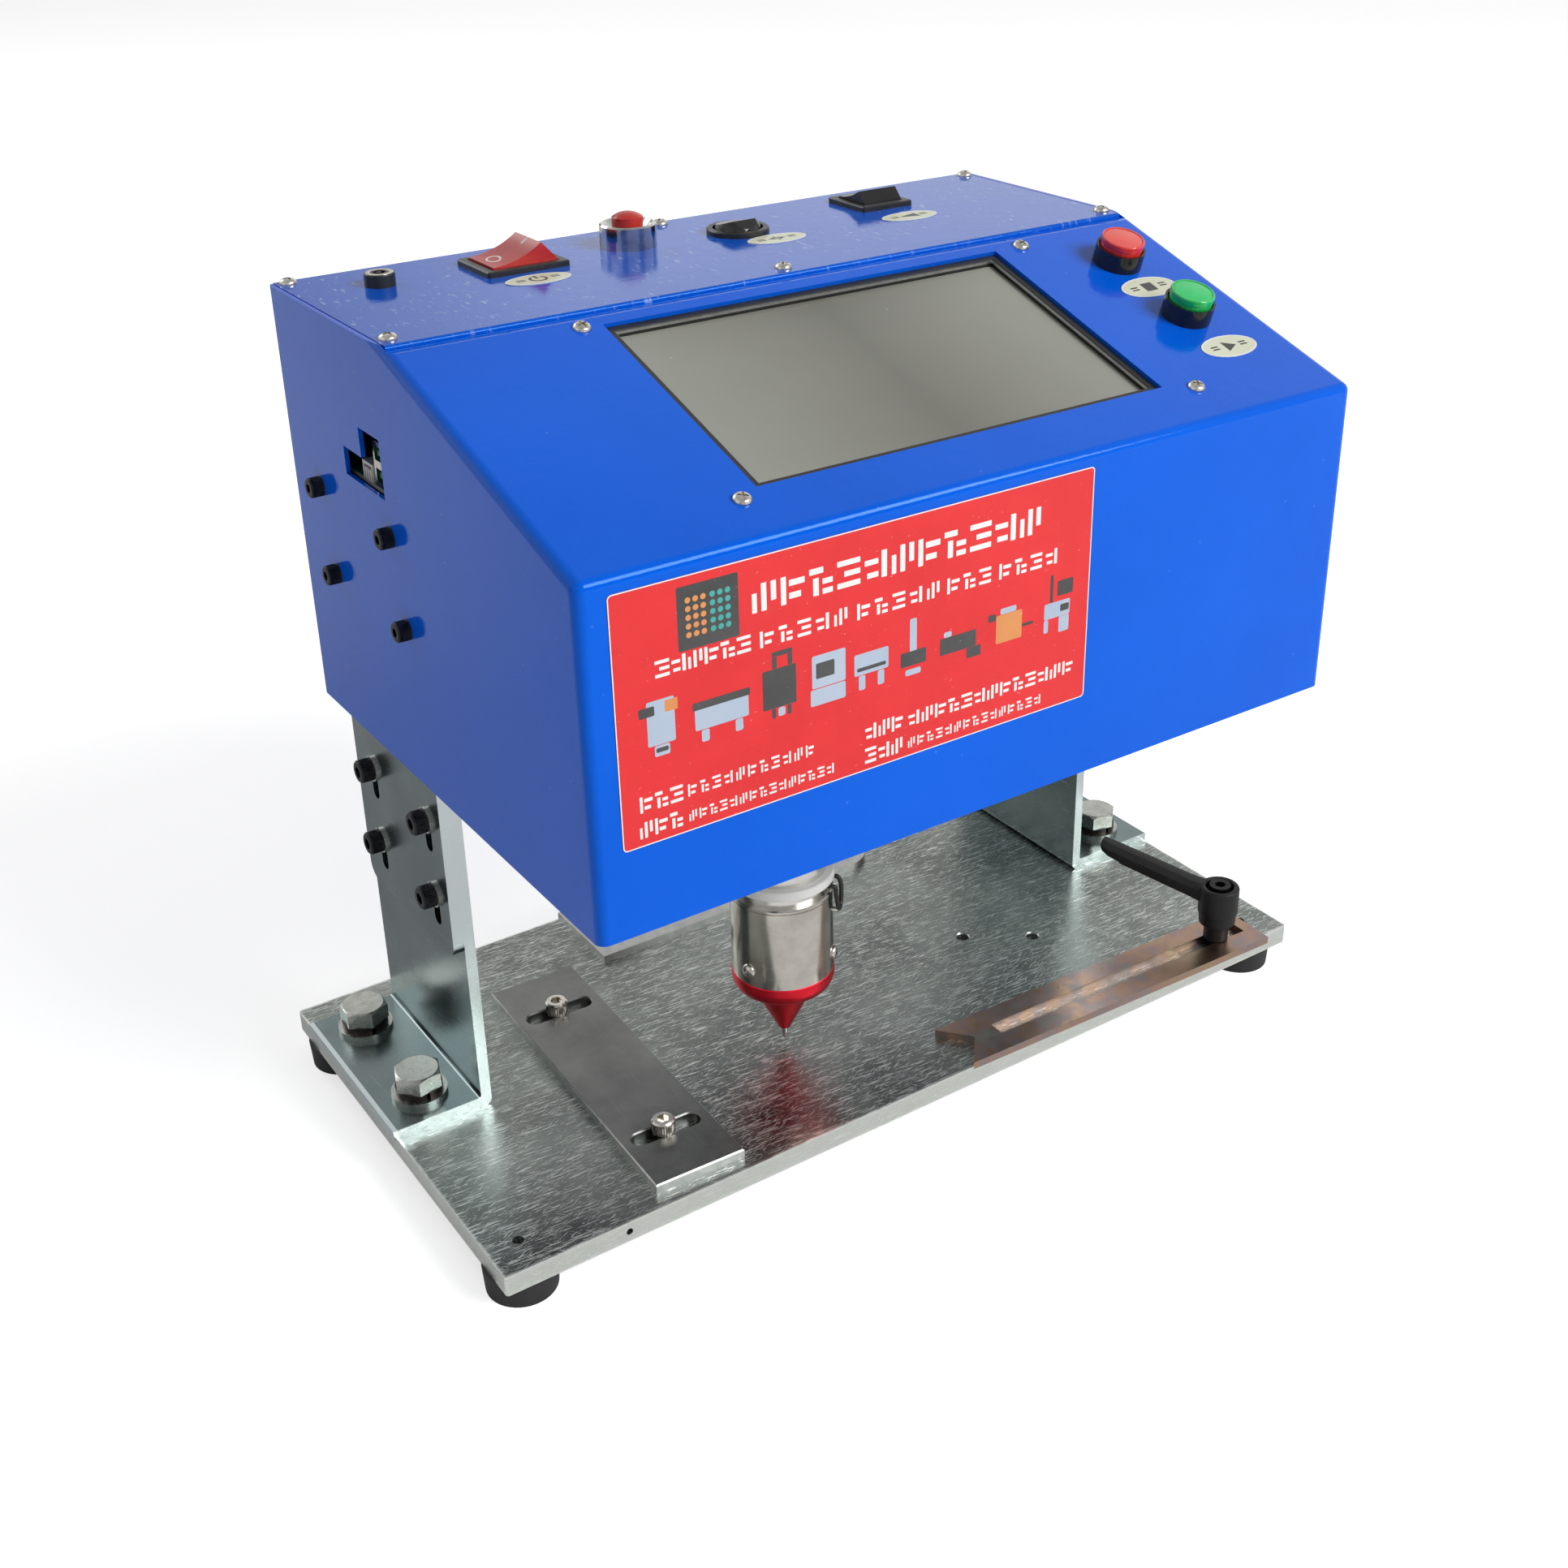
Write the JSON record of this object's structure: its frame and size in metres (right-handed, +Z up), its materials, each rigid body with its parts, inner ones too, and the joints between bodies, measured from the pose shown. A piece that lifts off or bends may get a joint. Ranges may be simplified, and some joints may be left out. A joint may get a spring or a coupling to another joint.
{
  "type": "nameplate marking machine",
  "caption": "Desktop dot-peen marker for metal nameplates: sloped control box on two angle brackets over a flat base, with a travelling stylus head and two sliding stop bars.",
  "frame": {"origin": "centre of the bounding box in X and Y, on the surface that the feet stand on", "axes": "+X to the operator's right, +Y to the back, +Z up"},
  "size_m": [0.3614, 0.2138, 0.3153],
  "materials": {
    "zinc_steel": "zinc plated, mottled mill surface",
    "zinc_bracket": "zinc plated",
    "zinc_bolt": "bright zinc",
    "black_steel": "blackened",
    "black_screw": "black oxide",
    "dark_steel": "dark mill surface",
    "yellow_zinc": "yellow passivated zinc",
    "nickel": "nickel plated",
    "chrome": "polished chrome",
    "rubber_black": "matt rubber",
    "blue_paint": "glossy powder coat with light orange peel",
    "lever_plastic": "matt, glass filled",
    "black_plastic": "satin",
    "black_gloss": "glossy",
    "red_plastic": "glossy red",
    "red_clear": "translucent red",
    "green_clear": "translucent green",
    "pale_label": "satin film",
    "red_label": "satin film",
    "screen_glass": "matt anti-glare",
    "green_board": "solder mask",
    "brass": "plain",
    "machined_aluminium": "machined",
    "rail_steel": "ground and hardened",
    "motor_black": "satin black",
    "bright_tube": "bright drawn",
    "white_nylon": "milky",
    "nickel_barrel": "turned, nickel plated",
    "red_anodised": "red anodised",
    "copper_coil": "enamelled winding",
    "cable_black": "matt",
    "spring_steel": "plain",
    "hard_steel": "hardened"
  },
  "bodies": {
    "base": {"base_plate": "zinc_steel", "rubber_feet": "rubber_black", "foot_screws": "zinc_steel", "left_bracket": "zinc_bracket", "right_bracket": "zinc_bracket", "bracket_bolts": "zinc_bolt", "bolt_spring_washers": "black_steel", "bolt_flat_washers": "zinc_bolt", "hanger_screws": "black_screw", "hanger_washers": "zinc_bolt", "rear_plate": "dark_steel", "left_stop_screws": "nickel", "lever_stud": "black_screw"},
    "left_stop": {"left_stop_bar": "dark_steel"},
    "right_stop": {"right_stop_bar": "yellow_zinc"},
    "lever": {"clamp_lever": "lever_plastic"},
    "head": {"left_hanger": "zinc_bracket", "right_hanger": "zinc_bracket", "enclosure_shell": "blue_paint", "top_cover": "blue_paint", "cover_screws": "nickel", "side_screws": "black_screw", "screen_housing": "black_plastic", "screen_glass": "screen_glass", "screen_screws": "nickel", "dc_jack": "black_plastic", "power_switch_housing": "black_plastic", "drive_switch_housing": "black_plastic", "round_switch_housing": "black_plastic", "push_ring": "chrome", "button_collars": "black_gloss", "oval_labels": "pale_label", "front_label": "red_label", "control_board": "green_board", "board_posts": "brass", "stage_frame": "machined_aluminium", "y_rails": "rail_steel", "y_motor": "motor_black"},
    "power_switch": {"power_rocker": "red_plastic"},
    "drive_switch": {"drive_rocker": "black_gloss"},
    "round_switch": {"round_rocker": "black_gloss"},
    "push_switch": {"push_button": "red_plastic"},
    "stop_key": {"stop_button": "red_clear"},
    "start_key": {"start_button": "green_clear"},
    "y_drive": {"y_lead_screw": "rail_steel"},
    "y_stage": {"y_carriage": "machined_aluminium", "x_rails": "rail_steel", "x_motor": "motor_black"},
    "x_drive": {"x_lead_screw": "rail_steel"},
    "x_stage": {"x_carriage": "machined_aluminium", "head_tube": "bright_tube", "nylon_band": "white_nylon", "head_barrel": "nickel_barrel", "barrel_screws": "nickel", "nose_ring": "red_anodised", "nose_cone": "red_anodised", "coil": "copper_coil", "head_cable": "cable_black", "return_spring": "spring_steel"},
    "stylus_body": {"stylus": "hard_steel"}
  },
  "joints": [
    {"name": "head_height", "type": "slide", "parent": "base", "child": "head", "axis": [0, 0, 1], "range_m": [0, 0.0095]},
    {"name": "left_stop_slide", "type": "slide", "parent": "base", "child": "left_stop", "axis": [0.9995, -0.0314, 0], "range_m": [-0.0111, 0.0091]},
    {"name": "right_stop_slide", "type": "slide", "parent": "base", "child": "right_stop", "axis": [0.9997, -0.0244, 0], "range_m": [-0.0091, 0.1099]},
    {"name": "lever_turn", "type": "hinge", "parent": "base", "child": "lever", "pos_m": [0.14736, -0.06744, 0.038], "axis": [0, 0, 1], "range_deg": [-60, 60]},
    {"name": "power_switch_tilt", "type": "hinge", "parent": "head", "child": "power_switch", "pos_m": [-0.0736, 0.07827, 0.302], "axis": [0, 1, 0], "range_deg": [0, 20]},
    {"name": "drive_switch_tilt", "type": "hinge", "parent": "head", "child": "drive_switch", "pos_m": [0.0807, 0.08217, 0.302], "axis": [1, 0, 0], "range_deg": [0, 20]},
    {"name": "round_switch_tilt", "type": "hinge", "parent": "head", "child": "round_switch", "pos_m": [0.0145, 0.07287, 0.302], "axis": [1, 0, 0], "range_deg": [0, 20]},
    {"name": "push_switch_press", "type": "slide", "parent": "head", "child": "push_switch", "axis": [0, 0, -1], "range_m": [0, 0.002], "stiffness_N_per_m": 600, "springref_m": -0.001},
    {"name": "stop_press", "type": "slide", "parent": "head", "child": "stop_key", "axis": [0, 0.3048, -0.9524], "range_m": [0, 0.0025], "stiffness_N_per_m": 600, "springref_m": -0.001},
    {"name": "start_press", "type": "slide", "parent": "head", "child": "start_key", "axis": [0, 0.3048, -0.9524], "range_m": [0, 0.0025], "stiffness_N_per_m": 600, "springref_m": -0.001},
    {"name": "y_travel", "type": "slide", "parent": "head", "child": "y_stage", "axis": [0, 1, 0], "range_m": [-0.024, 0.038]},
    {"name": "y_screw_turn", "type": "hinge", "parent": "head", "child": "y_drive", "pos_m": [-0.1033, -0.01512, 0.1816], "axis": [0, 1, 0], "continuous": true},
    {"name": "x_travel", "type": "slide", "parent": "y_stage", "child": "x_stage", "axis": [1, 0, 0], "range_m": [-0.033, 0.095]},
    {"name": "x_screw_turn", "type": "hinge", "parent": "y_stage", "child": "x_drive", "pos_m": [0.0007, 0.00568, 0.222], "axis": [1, 0, 0], "continuous": true},
    {"name": "stylus_stroke", "type": "slide", "parent": "x_stage", "child": "stylus_body", "axis": [0, 0, -1], "range_m": [0, 0.0012], "stiffness_N_per_m": 1500, "springref_m": -0.001, "deforming": ["return_spring"]}
  ],
  "couplings": [
    {"joint": "y_screw_turn", "follows": "y_travel", "rad_per_m": 785.4},
    {"joint": "x_screw_turn", "follows": "x_travel", "rad_per_m": 785.4}
  ]
}
